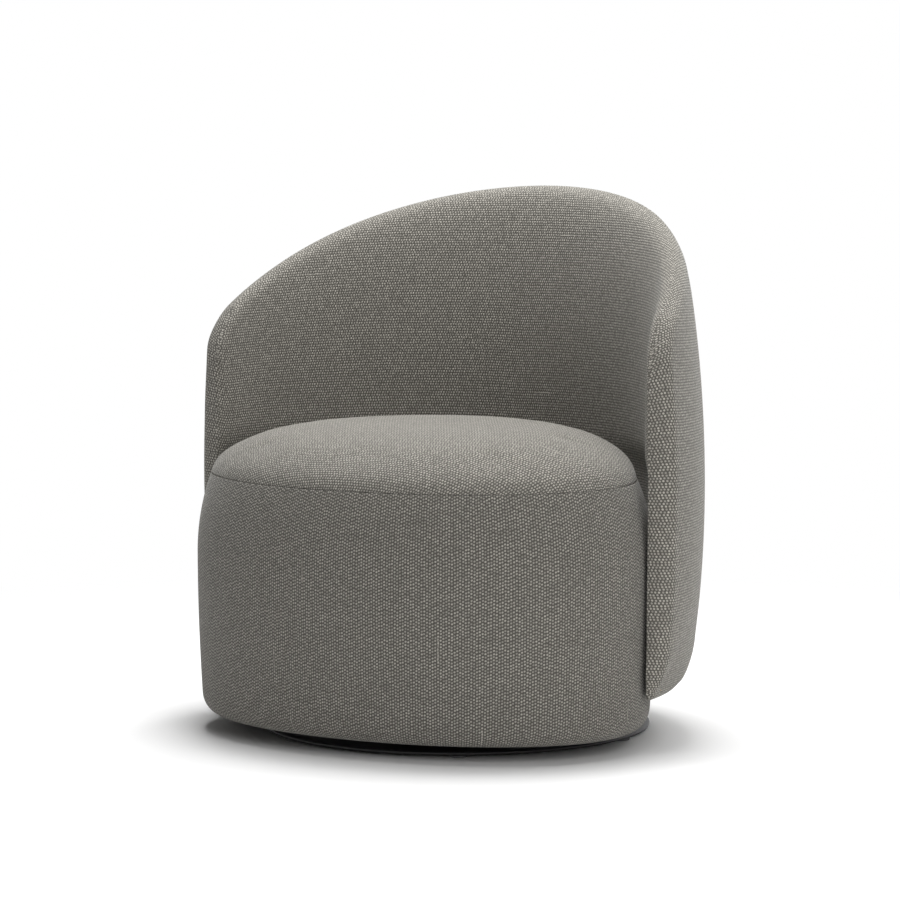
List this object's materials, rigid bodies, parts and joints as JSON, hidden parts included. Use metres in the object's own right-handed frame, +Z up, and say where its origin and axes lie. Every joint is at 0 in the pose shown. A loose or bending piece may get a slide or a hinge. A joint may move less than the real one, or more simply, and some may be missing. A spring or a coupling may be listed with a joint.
{
  "type": "swivel lounge chair",
  "caption": "Swivel lounge chair: rounded drum seat and a wrap-around tub back that slopes down to thin wings, in coarse woven fabric, turning on a ball bearing over a flat round base plate.",
  "frame": {"origin": "on the floor, on the swivel axis, under the middle of the chair's width and depth", "axes": "+Z up along the swivel axis, the seat faces -Y, +X is at the sitter's left hand"},
  "size_m": [0.7548, 0.6576, 0.763],
  "materials": {
    "woven_fabric": "coarse two-tone woven upholstery fabric, warm grey",
    "foam": "matte polyurethane foam",
    "cambric": "matte black non-woven cloth",
    "webbing": "matte elastic webbing",
    "plywood": "sanded plywood",
    "beech": "planed beech",
    "hardboard": "smooth fibreboard",
    "black_steel": "satin black powder coat",
    "zinc_plate": "zinc plated",
    "bright_steel": "bright steel",
    "nylon": "matte black nylon"
  },
  "bodies": {
    "base": {"base_plate": "black_steel", "floor_glide_1": "nylon", "floor_glide_2": "nylon", "floor_glide_3": "nylon", "floor_glide_4": "nylon", "floor_glide_5": "nylon", "floor_glide_6": "nylon", "swivel_lower_plate": "zinc_plate", "lower_plate_screw_1": "bright_steel", "lower_plate_screw_2": "bright_steel", "lower_plate_screw_3": "bright_steel", "lower_plate_screw_4": "bright_steel", "swivel_kingpin": "bright_steel"},
    "ball_cage": {"ball_cage": "nylon", "bearing_ball_1": "bright_steel", "bearing_ball_2": "bright_steel", "bearing_ball_3": "bright_steel", "bearing_ball_4": "bright_steel", "bearing_ball_5": "bright_steel", "bearing_ball_6": "bright_steel", "bearing_ball_7": "bright_steel", "bearing_ball_8": "bright_steel"},
    "seat": {"swivel_upper_plate": "zinc_plate", "upper_plate_bolt_1": "bright_steel", "upper_plate_bolt_2": "bright_steel", "upper_plate_bolt_3": "bright_steel", "upper_plate_bolt_4": "bright_steel", "seat_base_board": "plywood", "dust_cloth": "cambric", "seat_post_1": "beech", "seat_post_2": "beech", "seat_post_3": "beech", "seat_post_4": "beech", "seat_post_5": "beech", "seat_post_6": "beech", "seat_top_ring": "plywood", "webbing_lengthwise_1": "webbing", "webbing_lengthwise_2": "webbing", "webbing_lengthwise_3": "webbing", "webbing_crosswise_1": "webbing", "webbing_crosswise_2": "webbing", "webbing_crosswise_3": "webbing", "seat_side_panel": "hardboard", "seat_side_foam": "foam", "seat_side_cover": "woven_fabric", "seat_foam": "foam", "seat_top_cover": "woven_fabric", "back_shell": "plywood", "back_foam": "foam", "back_cover": "woven_fabric", "back_spacer_1": "zinc_plate", "back_spacer_2": "zinc_plate", "back_spacer_3": "zinc_plate", "back_spacer_4": "zinc_plate", "back_bolt_1": "bright_steel", "back_bolt_2": "bright_steel", "back_bolt_3": "bright_steel", "back_bolt_4": "bright_steel"}
  },
  "joints": [
    {"name": "seat_swivel", "type": "hinge", "parent": "base", "child": "seat", "pos_m": [0, 0, 0.01665], "axis": [0, 0, 1], "continuous": true},
    {"name": "cage_roll", "type": "hinge", "parent": "base", "child": "ball_cage", "pos_m": [0, 0, 0.01665], "axis": [0, 0, 1], "continuous": true}
  ],
  "couplings": [
    {"joint": "cage_roll", "follows": "seat_swivel", "ratio": 0.5}
  ]
}
